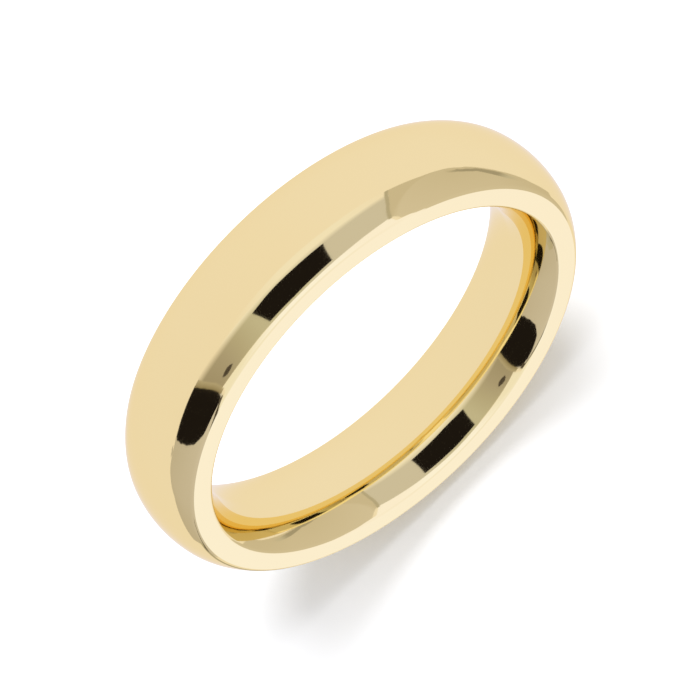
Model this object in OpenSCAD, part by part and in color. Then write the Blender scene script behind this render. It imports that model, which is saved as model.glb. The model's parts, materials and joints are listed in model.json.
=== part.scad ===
// A plain wedding band: one closed ring of solid gold, domed outside and
// rounded inside (a comfort fit), with a narrow flat on each side.
//
// Frame: the bore's centre is the origin and the bore runs along Y. +Z is up,
// so the ring stands on its rim, and its two flat sides face -Y and +Y.

/* [Band] */
// Width of the band along the finger (mm)
band_w = 5.0; // [4.6:0.1:6]
// Diameter of the finger hole at mid-width (mm)
bore_d = 18.5; // [14:0.1:23]
// Thickness of the metal at mid-width (mm)
wall_t = 2.85; // [2.4:0.05:3.5]

/* [Outside] */
// Radius of the dome's gentle crown (mm)
crown_r = 4.7; // [4:0.1:6]
// Half of the crown's arc, measured from mid-width (degrees)
crown_half_angle = 14.5; // [8:0.5:20]
// Radius of the tighter shoulder that carries the dome down to the side (mm)
shoulder_r = 2.9; // [2.7:0.05:3.8]
// Rounding between the shoulder and the flat side (mm)
outer_edge_r = 0.3; // [0.15:0.05:0.5]

/* [Inside] */
// Width of the straight land at the middle of the finger hole (mm)
bore_land = 0.4; // [0.2:0.1:1]
// Radius of the comfort curve on each side of that land (mm)
comfort_r = 3.5; // [3.2:0.1:6]
// Rounding between the comfort curve and the flat side (mm)
inner_edge_r = 0.25; // [0.15:0.05:0.5]

/* [Hidden] */

$fn = 240;
half_w = band_w / 2;
bore_r = bore_d / 2;
outer_r = bore_r + wall_t;
reach = 3 * wall_t; // longer than any cut through the section

// The section lies in the X-Y plane: x is the distance from the ring's axis,
// y runs across the width. Each arc ends where the next one starts with the
// same slope, so the centres follow from the angles where they meet.
crown_c = [outer_r - crown_r, 0];
shoulder_c = crown_c + (crown_r - shoulder_r) * direction(crown_half_angle);
shoulder_end_angle = asin((half_w - outer_edge_r - shoulder_c.y) / (shoulder_r - outer_edge_r));
outer_edge_c = shoulder_c + (shoulder_r - outer_edge_r) * direction(shoulder_end_angle);

crown_end = crown_c + crown_r * direction(crown_half_angle);
shoulder_end = shoulder_c + shoulder_r * direction(shoulder_end_angle);

comfort_c = [bore_r + comfort_r, bore_land / 2];
comfort_end_angle = asin((half_w - inner_edge_r - comfort_c.y) / (comfort_r - inner_edge_r));
inner_edge_c = comfort_c + (comfort_r - inner_edge_r) * direction(180 - comfort_end_angle);
comfort_end = comfort_c + comfort_r * direction(180 - comfort_end_angle);

// The flat side runs between the two edge roundings. The section is drawn as
// an outer and an inner half that meet on this circle, midway along the flat.
side_mid_r = (outer_edge_c.x + inner_edge_c.x) / 2;

function direction(a) = [cos(a), sin(a)];

// The part of a disc that lies between the heights y0 and y1, outwards from x0
module outer_strip(centre, r, x0, y0, y1) {
    intersection() {
        translate(centre) circle(r);
        translate([x0, y0]) square([reach, y1 - y0]);
    }
}

// The same, inwards from x1
module inner_strip(centre, r, x1, y0, y1) {
    intersection() {
        translate(centre) circle(r);
        translate([x1 - reach, y0]) square([reach, y1 - y0]);
    }
}

// The solid strip under the flat side, between x0 and x1
module side_block(x0, x1, y0) {
    translate([x0, y0]) square([x1 - x0, half_w - y0]);
}

// The middle of the section: the crown outside, and the land inside
module middle_section() {
    outer_strip(crown_c, crown_r, side_mid_r, -crown_end.y, crown_end.y);
    translate([bore_r, -bore_land / 2]) square([side_mid_r - bore_r, bore_land]);
}

// From the crown to the flat side, outwards of side_mid_r
module outer_side_section() {
    outer_strip(shoulder_c, shoulder_r, side_mid_r, crown_end.y, shoulder_end.y);
    outer_strip(outer_edge_c, outer_edge_r, outer_edge_c.x, shoulder_end.y, half_w);
    side_block(side_mid_r, outer_edge_c.x, shoulder_end.y);
}

// From the land to the flat side, inwards of side_mid_r
module inner_side_section() {
    inner_strip(comfort_c, comfort_r, side_mid_r, comfort_c.y, comfort_end.y);
    inner_strip(inner_edge_c, inner_edge_r, inner_edge_c.x, comfort_end.y, half_w);
    side_block(inner_edge_c.x, side_mid_r, comfort_end.y);
}

module side_section() {
    outer_side_section();
    inner_side_section();
}

module section() {
    middle_section();
    side_section();
    mirror([0, 1]) side_section();
}

// The whole ring is one piece of metal
module band() {
    color([0.93, 0.80, 0.54])
        rotate([90, 0, 0])
            rotate_extrude()
                section();
}

band();
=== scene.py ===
# %% [markdown]
# # A plain gold wedding band
# This lesson builds one polished ring in Blender around its finished CAD model. The CAD model
# gives the place and the size; Blender gives the mirror finish and the studio round it.
# We load the CAD model first and keep its box, because the visible ring may not leave it.

# %% Load the frame
import json
import math

import bmesh
import bpy
from mathutils import Matrix, Vector


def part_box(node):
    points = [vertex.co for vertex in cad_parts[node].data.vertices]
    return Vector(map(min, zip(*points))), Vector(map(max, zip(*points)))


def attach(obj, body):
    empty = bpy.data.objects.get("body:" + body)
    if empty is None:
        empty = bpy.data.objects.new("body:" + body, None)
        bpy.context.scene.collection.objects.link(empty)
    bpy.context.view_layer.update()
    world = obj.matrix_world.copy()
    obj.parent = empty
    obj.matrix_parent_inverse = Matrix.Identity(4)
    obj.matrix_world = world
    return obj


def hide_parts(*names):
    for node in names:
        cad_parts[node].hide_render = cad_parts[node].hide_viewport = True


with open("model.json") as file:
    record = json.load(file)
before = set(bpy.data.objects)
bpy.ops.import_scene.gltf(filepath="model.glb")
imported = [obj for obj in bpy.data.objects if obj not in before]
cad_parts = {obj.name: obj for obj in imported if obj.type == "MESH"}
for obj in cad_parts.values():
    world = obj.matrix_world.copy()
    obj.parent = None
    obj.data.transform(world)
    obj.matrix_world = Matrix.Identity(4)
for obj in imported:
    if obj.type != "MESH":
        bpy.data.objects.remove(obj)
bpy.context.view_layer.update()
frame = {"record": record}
MM = 0.001

# %% [markdown]
# A ring is a solid of revolution, so three sizes place everything: the outer radius, half the
# width, and the radius of the finger hole. The first two come from the CAD node's own box and
# the third from the mount that the record declares, so nothing can drift away from the CAD.

# %% The ring's main sizes
band_low, band_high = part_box("band")
OUTER_RADIUS = band_high.z
HALF_WIDTH = band_high.y
hole = next(mount for mount in frame["record"]["mounts"] if mount["name"] == "finger_bore")
BORE_RADIUS = hole["dims"]["r_mm"] * MM
print("outer, bore and half width in mm:", OUTER_RADIUS / MM, BORE_RADIUS / MM, HALF_WIDTH / MM)

# %% [markdown]
# The camera comes before the looks. It stands in front of the ring and well above it, with a
# long lens, and it is turned about its own line of sight, so that the ring lies slantwise in
# the frame. We write the camera's right, up and back directions as the columns of a matrix:
# that is easier to check than three Euler angles.

# %% The camera
CAMERA_ELEVATION = math.radians(61.42)
CAMERA_ROLL = math.radians(44.955)
CAMERA_DISTANCE = 256.6 * MM
CAMERA_LENS = 287.7
AIM_RIGHT = -0.160 * MM
AIM_UP = -0.080 * MM

level_right = Vector((1, 0, 0))
level_up = Vector((0, math.sin(CAMERA_ELEVATION), math.cos(CAMERA_ELEVATION)))
back = Vector((0, -math.cos(CAMERA_ELEVATION), math.sin(CAMERA_ELEVATION)))
right = level_right * math.cos(CAMERA_ROLL) - level_up * math.sin(CAMERA_ROLL)
up = level_right * math.sin(CAMERA_ROLL) + level_up * math.cos(CAMERA_ROLL)

camera = bpy.data.objects.new("camera", bpy.data.cameras.new("camera"))
camera.data.lens = CAMERA_LENS
camera.data.clip_start = 10 * MM
camera.data.clip_end = 5.0
camera_place = back * CAMERA_DISTANCE + right * AIM_RIGHT + up * AIM_UP
camera_turn = Matrix((right, up, back)).transposed().to_4x4()
camera.matrix_world = Matrix.Translation(camera_place) @ camera_turn
bpy.context.scene.collection.objects.link(camera)
bpy.context.scene.camera = camera
bpy.context.scene.view_settings.view_transform = "Standard"
print("camera at, in mm:", [round(c / MM, 1) for c in camera.location])

# %% [markdown]
# Node trees are hard to read when every link is a line of its own. This small class wraps one
# output socket, so that shader maths reads as an expression: 0.5 * mask makes the Multiply
# node. Only sums and products are used in this lesson, so only they are here. The node method
# makes any other node: it sets the settings first, then the inputs, each of which is a plain
# value or another wire.

# %% A wire that does shader maths
class Wire:
    """One output socket in a material's tree; sums and products on it add Math nodes."""

    def __init__(self, tree, socket=None):
        self.tree = tree
        self.socket = socket

    def node(self, kind, settings=None, inputs=None, output=0):
        """Adds a node of that type, and returns the wire from its output of that name or number."""
        made = self.tree.nodes.new(kind)
        for name, value in (settings or {}).items():
            setattr(made, name, value)
        for name, value in (inputs or {}).items():
            if isinstance(value, Wire):
                self.tree.links.new(value.socket, made.inputs[name])
            else:
                made.inputs[name].default_value = value
        return Wire(self.tree, made.outputs[output])

    def maths(self, operation, first, second):
        return self.node("ShaderNodeMath", {"operation": operation}, {0: first, 1: second})

    def __add__(self, other):
        return self.maths("ADD", self, other)

    def __radd__(self, other):
        return self.maths("ADD", other, self)

    def __mul__(self, other):
        return self.maths("MULTIPLY", self, other)

    def __rmul__(self, other):
        return self.maths("MULTIPLY", other, self)


def new_material(name):
    """A material with an empty tree, and the wire that its first node is made from."""
    material = bpy.data.materials.new(name)
    material.use_nodes = True
    material.node_tree.nodes.clear()
    return material, Wire(material.node_tree)


def show_with(material, shader):
    """Makes that shader what the material's surface shows."""
    output = material.node_tree.nodes.new("ShaderNodeOutputMaterial")
    material.node_tree.links.new(shader.socket, output.inputs["Surface"])


print("shader maths: sums and products")

# %% [markdown]
# The section of this ring has no corner: a crown arc runs into a tighter shoulder arc, that
# into a small broken edge, then a narrow flat side, another small edge, and a comfort curve
# inside that ends in a very short straight land. Each arc starts in the direction where the
# last one ends, so each centre follows from the one before. A point on the section is kept
# with the direction that its surface faces, because a mirror shows the smallest error in that.

# %% The section, from the middle of the bore to the middle of the crown
CROWN_RADIUS = 4.7 * MM
CROWN_HALF_ANGLE = 14.5
SHOULDER_RADIUS = 2.9 * MM
OUTER_EDGE_RADIUS = 0.3 * MM
COMFORT_RADIUS = 3.5 * MM
BORE_LAND = 0.4 * MM
INNER_EDGE_RADIUS = 0.25 * MM

COMFORT_STEPS = 22
EDGE_STEPS = 10
SHOULDER_STEPS = 18
CROWN_STEPS = 9
OUTWARD, ACROSS, INWARD = 0, 90, 180


def along(degrees, reach=1.0):
    """A step in the section's plane: 0 degrees is outward, 90 degrees across the width."""
    angle = math.radians(degrees)
    return Vector((math.cos(angle), math.sin(angle))) * reach


def arc(centre, radius, start, end, steps):
    """Points on an arc, each with the direction that it faces, in degrees."""
    angles = [start + (end - start) * step / steps for step in range(steps + 1)]
    return [(centre + along(angle, radius), angle) for angle in angles]


crown_centre = Vector((OUTER_RADIUS - CROWN_RADIUS, 0))
shoulder_centre = crown_centre + along(CROWN_HALF_ANGLE, CROWN_RADIUS - SHOULDER_RADIUS)
shoulder_reach = SHOULDER_RADIUS - OUTER_EDGE_RADIUS
shoulder_end = math.degrees(
    math.asin((HALF_WIDTH - OUTER_EDGE_RADIUS - shoulder_centre.y) / shoulder_reach)
)
outer_edge_centre = shoulder_centre + along(shoulder_end, shoulder_reach)

comfort_centre = Vector((BORE_RADIUS + COMFORT_RADIUS, BORE_LAND / 2))
comfort_reach = COMFORT_RADIUS - INNER_EDGE_RADIUS
comfort_end = INWARD - math.degrees(
    math.asin((HALF_WIDTH - INNER_EDGE_RADIUS - comfort_centre.y) / comfort_reach)
)
inner_edge_centre = comfort_centre + along(comfort_end, comfort_reach)

half_section = (
    arc(comfort_centre, COMFORT_RADIUS, INWARD, comfort_end, COMFORT_STEPS)
    + arc(inner_edge_centre, INNER_EDGE_RADIUS, comfort_end, ACROSS, EDGE_STEPS)[1:]
    + arc(outer_edge_centre, OUTER_EDGE_RADIUS, ACROSS, shoulder_end, EDGE_STEPS)
    + arc(shoulder_centre, SHOULDER_RADIUS, shoulder_end, CROWN_HALF_ANGLE, SHOULDER_STEPS)[1:]
    + arc(crown_centre, CROWN_RADIUS, CROWN_HALF_ANGLE, OUTWARD, CROWN_STEPS)[1:]
)
other_half = [(Vector((p.x, -p.y)), -angle) for p, angle in reversed(half_section[:-1])]
section = half_section + other_half
print("points round the section:", len(section), " shoulder ends at", round(shoulder_end, 1))

# %% [markdown]
# Turning the section round the finger hole gives the band, as a lathe does. We could use the
# Screw modifier, but then the shading normals would be averaged from the faces, and the wide
# flat side would tilt the mirror beside the small edges. Building the mesh ourselves lets us
# give every vertex the exact direction that it faces. The UV map runs round the ring and
# along the section, for the polishing marks.

# %% Turn the band
TURN_STEPS = 512


def lathe(name, outline, steps):
    """A closed ring of quads round the Y axis, with exact normals and a UV map."""
    mesh = bpy.data.meshes.new(name)
    build = bmesh.new()
    uv = build.loops.layers.uv.new("lathe")
    lengths = [0.0]
    for (here, _), (there, _) in zip(outline, outline[1:] + outline[:1]):
        lengths.append(lengths[-1] + (there - here).length)
    turns = [2 * math.pi * step / steps for step in range(steps)]
    rows = [
        [build.verts.new((p.x * math.cos(turn), p.y, p.x * math.sin(turn))) for p, _ in outline]
        for turn in turns
    ]
    count = len(outline)
    for i in range(steps):
        for j in range(count):
            corners = ((i, j), (i + 1, j), (i + 1, j + 1), (i, j + 1))
            face = build.faces.new([rows[a % steps][b % count] for a, b in corners])
            face.smooth = True
            for loop, (a, b) in zip(face.loops, corners):
                loop[uv].uv = (a / steps, lengths[b] / lengths[-1])
    build.to_mesh(mesh)
    build.free()
    tilts = [math.radians(angle) for _, angle in outline]
    facing = [
        (math.cos(tilt) * math.cos(turn), math.sin(tilt), math.cos(tilt) * math.sin(turn))
        for turn in turns
        for tilt in tilts
    ]
    mesh.normals_split_custom_set_from_vertices(facing)
    return bpy.data.objects.new(name, mesh), lengths[-1]


band, section_length = lathe("wedding_band", section, TURN_STEPS)
bpy.context.scene.collection.objects.link(band)
print("faces:", len(band.data.polygons), " section length in mm:", round(section_length / MM, 2))

# %% [markdown]
# Polished gold has no diffuse colour: all that we see is its tinted mirror. The tint goes on
# Base Color with Metallic at 1. A real buffed ring isn't a perfect mirror: the wheel leaves
# hairlines that run round the band, too fine to see one by one, and the surface swells and
# dips by less than a thousandth of a millimetre. Both are kept very faint here.

# %% Polished gold
GOLD = (0.945, 0.784, 0.374, 1)
GOLD_WARM = (0.945, 0.778, 0.362, 1)
GOLD_AT_AN_ANGLE = (0.980, 0.920, 0.740, 1)
HAIRLINES_ALONG = 160.0
HAIRLINES_ACROSS = 420.0
CLOUDS_PER_METRE = 260.0
SWELLS_PER_METRE = 170.0
POLISH_ROUGHNESS = 0.03
HAIRLINE_ROUGHNESS = 0.025
CLOUD_ROUGHNESS = 0.015
SWELL_HEIGHT = 0.6
HAIRLINE_HEIGHT = 0.02
RELIEF_DEPTH = 0.02 * MM
RELIEF_STRENGTH = 0.05

gold, start = new_material("polished_gold")
place = start.node("ShaderNodeTexCoord", output="Object")
unwrapped = start.node("ShaderNodeUVMap", {"uv_map": "lathe"})
across = start.node("ShaderNodeSeparateXYZ", inputs={"Vector": unwrapped}, output="Y")
sideways = start.node("ShaderNodeSeparateXYZ", inputs={"Vector": place}, output="X")
upright = start.node("ShaderNodeSeparateXYZ", inputs={"Vector": place}, output="Z")

# A noise that is squeezed along the section and long round the ring looks like hairlines.
hair_place = start.node("ShaderNodeCombineXYZ", inputs={
    "X": sideways * HAIRLINES_ALONG,
    "Y": across * HAIRLINES_ACROSS,
    "Z": upright * HAIRLINES_ALONG,
})
hairlines = start.node("ShaderNodeTexNoise", inputs={
    "Vector": hair_place, "Scale": 1.0, "Detail": 3.0, "Roughness": 0.6,
})
cloud = start.node("ShaderNodeTexNoise", inputs={
    "Vector": place, "Scale": CLOUDS_PER_METRE, "Detail": 2.0,
})
swell = start.node("ShaderNodeTexNoise", inputs={
    "Vector": place, "Scale": SWELLS_PER_METRE, "Detail": 1.0,
})

# The Mix node has a set of sockets for each kind of value, so its colour ones go by number.
COLOUR_A, COLOUR_B, COLOUR_RESULT = 6, 7, 2
tint = start.node(
    "ShaderNodeMix",
    {"data_type": "RGBA"},
    {"Factor": cloud, COLOUR_A: GOLD, COLOUR_B: GOLD_WARM},
    output=COLOUR_RESULT,
)
roughness = POLISH_ROUGHNESS + HAIRLINE_ROUGHNESS * hairlines + CLOUD_ROUGHNESS * cloud
height = swell * SWELL_HEIGHT + hairlines * HAIRLINE_HEIGHT
relief = start.node("ShaderNodeBump", inputs={
    "Strength": RELIEF_STRENGTH, "Distance": RELIEF_DEPTH, "Height": height,
})
surface = start.node(
    "ShaderNodeBsdfPrincipled",
    inputs={
        "Base Color": tint,
        "Metallic": 1.0,
        "Roughness": roughness,
        "Specular Tint": GOLD_AT_AN_ANGLE,
        "Normal": relief,
    },
)
show_with(gold, surface)
band.data.materials.append(gold)
print("nodes in the gold:", len(gold.node_tree.nodes))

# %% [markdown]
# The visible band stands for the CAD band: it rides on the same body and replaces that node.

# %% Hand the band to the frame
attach(band, "root")
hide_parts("band")
print(band.name, "stands for the CAD band")

# %% [markdown]
# A mirror shows its surroundings, so the studio matters as much as the metal. The floor is
# matte white. The world lights it evenly, and one large soft lamp, high behind the ring and a
# little to its right, gives the shadow that bends forward on both sides of the foot. Neither
# the floor nor the lamp shows in the gold, which gets surroundings of its own below.

# %% The floor, the even fill and the lamp
FLOOR_HALF = 2.0
FLOOR_SQUARES = 8
FLOOR_WHITE = (0.845, 0.855, 0.885, 1)
WORLD_FILL = 0.93
LAMP_WATTS = 1.25
LAMP_WIDTH = 290 * MM
LAMP_PLACE = Vector((65, 70, 330)) * MM


def flat_square(name, half, height):
    """A level square made of quads."""
    mesh = bpy.data.meshes.new(name)
    build = bmesh.new()
    bmesh.ops.create_grid(build, x_segments=FLOOR_SQUARES, y_segments=FLOOR_SQUARES, size=half)
    build.to_mesh(mesh)
    build.free()
    square = bpy.data.objects.new(name, mesh)
    square.location.z = height
    bpy.context.scene.collection.objects.link(square)
    return square


floor = flat_square("floor", FLOOR_HALF, -OUTER_RADIUS)
white, start = new_material("floor_white")
show_with(white, start.node("ShaderNodeBsdfDiffuse", inputs={"Color": FLOOR_WHITE}))
floor.data.materials.append(white)
floor.visible_glossy = False

world = bpy.data.worlds.new("studio")
world.use_nodes = True
world.node_tree.nodes.clear()
start = Wire(world.node_tree)
# The backdrop is full white where the lens sees it, and gives a little less light than that.
seen = start.node("ShaderNodeLightPath", output="Is Camera Ray")
strength = WORLD_FILL + (1 - WORLD_FILL) * seen
air = start.node("ShaderNodeBackground", inputs={"Color": (1, 1, 1, 1), "Strength": strength})
world_output = world.node_tree.nodes.new("ShaderNodeOutputWorld")
world.node_tree.links.new(air.socket, world_output.inputs["Surface"])
bpy.context.scene.world = world

lamp = bpy.data.objects.new("softbox", bpy.data.lights.new("softbox", "AREA"))
lamp.data.shape = "DISK"
lamp.data.size = LAMP_WIDTH
lamp.data.energy = LAMP_WATTS
lamp.location = LAMP_PLACE
lamp.rotation_euler = LAMP_PLACE.to_track_quat("Z", "Y").to_euler()
lamp.visible_glossy = False
bpy.context.scene.collection.objects.link(lamp)
print("lamp at, in mm:", [round(c / MM) for c in LAMP_PLACE], " width", round(LAMP_WIDTH / MM))

# %% [markdown]
# What the gold mirrors is a light tent: a pale dome, grey walls, a gap for the lens, another
# gap on the left, and a bright sweep in front. Each is a card on a sphere round the ring. We
# give its two long edges as directions in degrees: the angle to the side, and the angle from
# straight up, over the front, to straight down. Each new card is a little nearer to the ring
# than the last, so it covers the ones before it. The cards glow by themselves, and only
# mirror rays see them, so they can be placed for the gold alone and the lamp stays free for
# the floor.

# %% How a card is made
TENT_REACH = 190 * MM
CARD_STEP = 0.003
ALONG_STEPS = 6
ACROSS_STEPS = 10

card_finish, start = new_material("card_glow")
glow = start.node("ShaderNodeAttribute", {"attribute_name": "glow"})
show_with(card_finish, start.node("ShaderNodeEmission", inputs={"Color": glow}))
card_finish.cycles.emission_sampling = "NONE"
stage_cards = []


def toward(sideways, pitch):
    """The direction at those two angles in degrees."""
    side, lean = math.radians(sideways), math.radians(pitch)
    return Vector((math.sin(side), -math.sin(lean) * math.cos(side), math.cos(lean) * math.cos(side)))


def between(first, second, share):
    """The place or colour that lies that share of the way from the first to the second."""
    return tuple(a + (b - a) * share for a, b in zip(first, second))


def steps_along(edge, shades):
    """The points of an edge with more between them, each with its colour."""
    stops = [(*place, *shade) for place, shade in zip(edge, shades)]
    fine = [
        between(here, there, step / ALONG_STEPS)
        for here, there in zip(stops, stops[1:])
        for step in range(ALONG_STEPS)
    ]
    return fine + stops[-1:]


def only_in_mirrors(name, build):
    """Makes a card of the finished mesh, which mirror rays see and no other ray does."""
    mesh = bpy.data.meshes.new(name)
    build.to_mesh(mesh)
    build.free()
    made = bpy.data.objects.new("card_" + name, mesh)
    for ray in ("camera", "diffuse", "transmission", "volume_scatter", "shadow"):
        setattr(made, "visible_" + ray, False)
    mesh.materials.append(card_finish)
    bpy.context.scene.collection.objects.link(made)
    stage_cards.append(made)


def card(name, first_edge, second_edge, first_shade, second_shade=None):
    """A card between two edges. A shade is one colour, or a list with one for each point."""
    build = bmesh.new()
    colour = build.verts.layers.float_color.new("glow")
    reach = TENT_REACH * (1 - CARD_STEP * len(stage_cards))
    lines = []
    for edge, shade in ((first_edge, first_shade), (second_edge, second_shade or first_shade)):
        lines.append(steps_along(edge, shade if isinstance(shade, list) else [shade] * len(edge)))
    rows = []
    for step in range(ACROSS_STEPS + 1):
        row = []
        for here, there in zip(*lines):
            sideways, pitch, *rgb = between(here, there, step / ACROSS_STEPS)
            row.append(build.verts.new(toward(sideways, pitch) * reach))
            row[-1][colour] = (*rgb, 1)
        rows.append(row)
    for low, high in zip(rows, rows[1:]):
        for i in range(len(low) - 1):
            build.faces.new((low[i], low[i + 1], high[i + 1], high[i]))
    only_in_mirrors(name, build)


def line_card(name, path, width, shade):
    """A thin card along a path of directions."""
    half = width / 2
    stretches = list(zip(path, path[1:]))
    stretches.append(stretches[-1])
    first, second = [], []
    for place, (here, there) in zip(path, stretches):
        run = Vector(there) - Vector(here)
        off = Vector((-run.y, run.x)).normalized() * half
        first.append((place[0] + off.x, place[1] + off.y))
        second.append((place[0] - off.x, place[1] - off.y))
    card(name, first, second, shade)


print("cards stand", round(TENT_REACH / MM), "mm from the middle of the ring, or a little less")

# %% [markdown]
# The dome goes up first. It is a little brighter on the right, which gives the broad crown
# of the band its slow change of tone.

# %% The dome
DOME_LEFT = (0.896, 0.872, 1.045)
DOME = (0.912, 0.886, 1.055)
DOME_RIGHT = (0.920, 0.905, 1.120)
DOME_RINGS = 32

build = bmesh.new()
bmesh.ops.create_uvsphere(
    build, u_segments=2 * DOME_RINGS, v_segments=DOME_RINGS, radius=TENT_REACH
)
colour = build.verts.layers.float_color.new("glow")
for vertex in build.verts:
    lean = vertex.co.x / TENT_REACH
    side = DOME_LEFT if lean < 0 else DOME_RIGHT
    vertex[colour] = (*between(DOME, side, abs(lean)), 1)
only_in_mirrors("dome", build)
print("points in the dome:", len(stage_cards[0].data.vertices))

# %% [markdown]
# Then the walls, from the back of the stack to the front: a pale strip where the dome ends,
# grey side walls that reach down past the level of the ring, the front wall between them, and
# the bright sweep under it. Where the tent's cloth turns a corner the edge is soft, so the
# top of the front wall blends from the dome's shades to its own.

# %% The walls and the sweep
STRIP = (0.935, 0.955, 1.220)
WALL = (0.640, 0.650, 0.835)
WALL_LEFT = (0.590, 0.605, 0.690)
WALL_PALE = (0.560, 0.573, 0.630)
WALL_SHADE = (0.490, 0.482, 0.512)
WALL_DIM = (0.425, 0.405, 0.440)
WALL_DARK = (0.375, 0.352, 0.366)
RIGHT_WALL = (0.620, 0.594, 0.660)
RIGHT_NEAR = (0.682, 0.665, 0.785)
LEFT_WALL = (0.545, 0.528, 0.630)
LEFT_NEAR = (0.645, 0.646, 0.850)
SWEEP = (1.035, 1.110, 1.700)
SWEEP_LEFT = (0.925, 0.955, 1.230)
SWEEP_RIGHT = (1.025, 1.070, 1.590)

card("strip", [(-30, -1), (0, -2), (30, -2), (56, -5)], [(-30, 9), (0, 11), (30, 10), (54, 8)],
     [DOME, STRIP, STRIP, DOME_RIGHT])
card("right_wall",
     [(55, -4), (72, -4.5), (80, -11), (86.6, -20), (90, -30), (90, 60), (90, 150), (87, 175),
      (83, 166.5), (76, 164), (68, 165), (50, 172.5), (40, 180)],
     [(54, 0), (52, 20), (48, 35), (43, 52), (43, 60), (41, 72), (37, 85), (32, 95), (27, 104),
      (24, 112), (19, 119), (14, 127), (8, 150)],
     RIGHT_WALL, [RIGHT_WALL] * 4 + [RIGHT_NEAR] * 9)
card("left_wall",
     [(-52, 0), (-66, -1), (-76, 1), (-83, 3), (-93, 22), (-91.3, 90), (-93.5, 160), (-90, 183),
      (-84, 186), (-77.9, 180), (-67, 173), (-54, 176), (-42, 180)],
     [(-50, 10), (-48, 20), (-46, 35), (-43, 50), (-43, 60), (-42, 66), (-37, 82), (-32, 94),
      (-26, 104), (-22, 111), (-15, 126), (-12, 140), (-12, 150)],
     LEFT_WALL, [LEFT_WALL] * 4 + [LEFT_NEAR] * 9)
# Painted shade: the front wall glows darker towards its left end, beside the gap in the left wall.
front_shades = [WALL_DARK, WALL_DIM, WALL_SHADE, WALL_PALE, WALL_LEFT, WALL, WALL, WALL]
card("front_wall",
     [(-56, 5), (-40, 9), (-30, 10), (-20, 10), (0, 12), (20, 12), (40, 11), (55, 8)],
     [(-45, 56), (-36, 54), (-28, 52), (-18, 50), (0, 50), (16, 50), (30, 51), (42, 55)],
     front_shades)
card("front_wall_top",
     [(-54, -3), (-40, 2), (-30, 4), (-20, 5), (0, 7), (20, 7), (40, 6), (55, 3)],
     [(-54, 13), (-40, 15), (-30, 15), (-20, 15), (0, 15), (20, 15), (40, 14), (54, 13)],
     [DOME_LEFT, DOME, STRIP, STRIP, STRIP, STRIP, STRIP, DOME_RIGHT], front_shades)
card("sweep",
     [(-42, 56), (-30, 53), (-20, 51), (-10, 50), (0, 50), (16, 50), (30, 51), (42, 53)],
     [(-36, 85), (-28, 85), (-18, 85), (-9, 85), (0, 85), (12, 85), (24, 85), (37, 85)],
     [SWEEP_LEFT, SWEEP_LEFT, between(SWEEP_LEFT, SWEEP, 0.5), SWEEP, SWEEP, SWEEP,
      SWEEP_RIGHT, SWEEP_RIGHT])
card("sweep_foot",
     [(-36, 85), (-32, 94), (-26, 105), (-22, 111), (-15, 126), (-13, 140), (-13, 166)],
     [(37, 85), (32, 95), (27, 104), (24, 112), (15, 126), (13, 140), (13, 166)],
     [SWEEP_LEFT] * 4 + [SWEEP] * 3, SWEEP_RIGHT)
print("dome, walls and sweep:", len(stage_cards), "cards")

# %% [markdown]
# Then the small things that make the reflection read as a real room: the dark gap that the lens looks
# through, the gap in the left wall with its brown seam, and painted shade in a small dark hole and
# along the creases where the cloth is folded. Three more lie low down: a painted shadow line at an
# edge on the right, and on the left a painted reflection of the ring's own shadow on the floor, with
# the painted contact shadow of its foot beside it.

# %% Gaps, a seam, and painted shade and shadows
BLACK = (0.012, 0.010, 0.012)
SEAM_DARK = (0.300, 0.265, 0.215)
SEAM = (0.490, 0.460, 0.465)
# Painted shade for the creases, the fold and the hole, and painted shadows, with the faint shade that
# two of them fade into.
CREASE_SHADE = (0.480, 0.470, 0.520)
RIGHT_EDGE_SHADOW = (0.390, 0.375, 0.410)
FOLD_AND_HOLE_SHADE = (0.080, 0.070, 0.075)
FOOT_SHADOW = (0.160, 0.150, 0.155)
FAINT = (0.560, 0.560, 0.640)
SHADOW = (0.520, 0.510, 0.540)
SHADOW_EDGE = (0.420, 0.410, 0.430)

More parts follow.
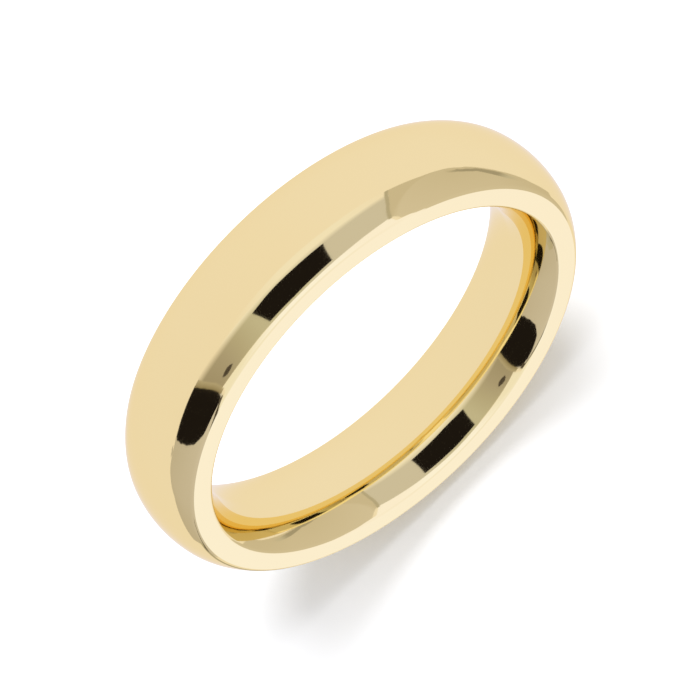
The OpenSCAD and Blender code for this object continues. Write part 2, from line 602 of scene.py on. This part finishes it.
card("lens_gap",
     [(-18.5, 14), (-10, 12), (-4, 11.6), (4, 12.4), (12, 13), (20.5, 14)],
     [(-14, 46), (-8, 46), (-2, 46.5), (4, 46), (11, 46), (16.5, 46)], BLACK)
card("left_gap",
     [(-57, -0.5), (-55.3, 16), (-52, 32), (-49, 42), (-45.5, 54), (-43.3, 64), (-45, 72),
      (-49, 77)],
     [(-66, 0), (-75, 1), (-82, 6), (-83, 25), (-80, 58), (-73, 76), (-64, 84), (-55, 83)], BLACK)
card("left_seam",
     [(-58, 0), (-56, 16), (-52.5, 32), (-49.5, 42), (-43.5, 61)],
     [(-54.2, 1), (-52.8, 15), (-49.6, 30), (-46.3, 41), (-41.5, 59)], SEAM_DARK, SEAM)
# Painted shade: a darker line along the crease in the cloth where the right wall meets the front
# wall.
line_card("right_crease_shade", [(55, -4), (52.5, 16), (50, 28), (46, 41), (41.5, 55)],
          width=1.8, shade=CREASE_SHADE)
# Painted shade: a near-black line along the fold in the cloth where the left wall meets the sweep.
line_card("left_fold_shade", [(-43.5, 65), (-38.5, 81), (-33, 94.5), (-23.5, 111.5), (-15.5, 126)],
          width=3.0, shade=FOLD_AND_HOLE_SHADE)
# Painted shade: the dark inside of a small hole in the cloth.
card("small_hole",
     [(-42, 43), (-40.5, 40.5), (-38.7, 39.3), (-36.9, 40.5), (-35.4, 43)],
     [(-42, 44), (-40.5, 46.8), (-38.7, 48), (-36.9, 46.8), (-35.4, 44)], FOLD_AND_HOLE_SHADE)
# Painted shadow: a dark line at an edge on the right, fading into the wall's glow at both ends.
card("right_edge_shadow",
     [(83, 0), (88.2, 63), (85.6, 137), (80.8, 157), (73.8, 159), (68, 161.5), (62.6, 162),
      (57, 165)],
     [(82.4, 25), (84.7, 81), (82.7, 116), (79, 140.5), (73.8, 145), (68, 149.5), (62.6, 154),
      (57, 160)],
     [RIGHT_WALL] + [RIGHT_EDGE_SHADOW] * 5 + [FAINT, RIGHT_WALL])
card("floor_shadow",
     [(-44, 171), (-37, 179), (-27, 188), (-14, 196)],
     [(-33, 160), (-27, 168), (-19, 176), (-10, 184)], SHADOW, SHADOW_EDGE)
# Painted shadow: the dark contact shadow at the ring's foot on the left, as the gold mirrors it,
# fading at its end.
line_card("left_foot_shadow", [(-31, 144), (-28.5, 148), (-29.5, 155), (-32, 164), (-37, 178)],
          width=3.5, shade=[FOOT_SHADOW] * 4 + [FAINT])
print("all cards:", len(stage_cards))
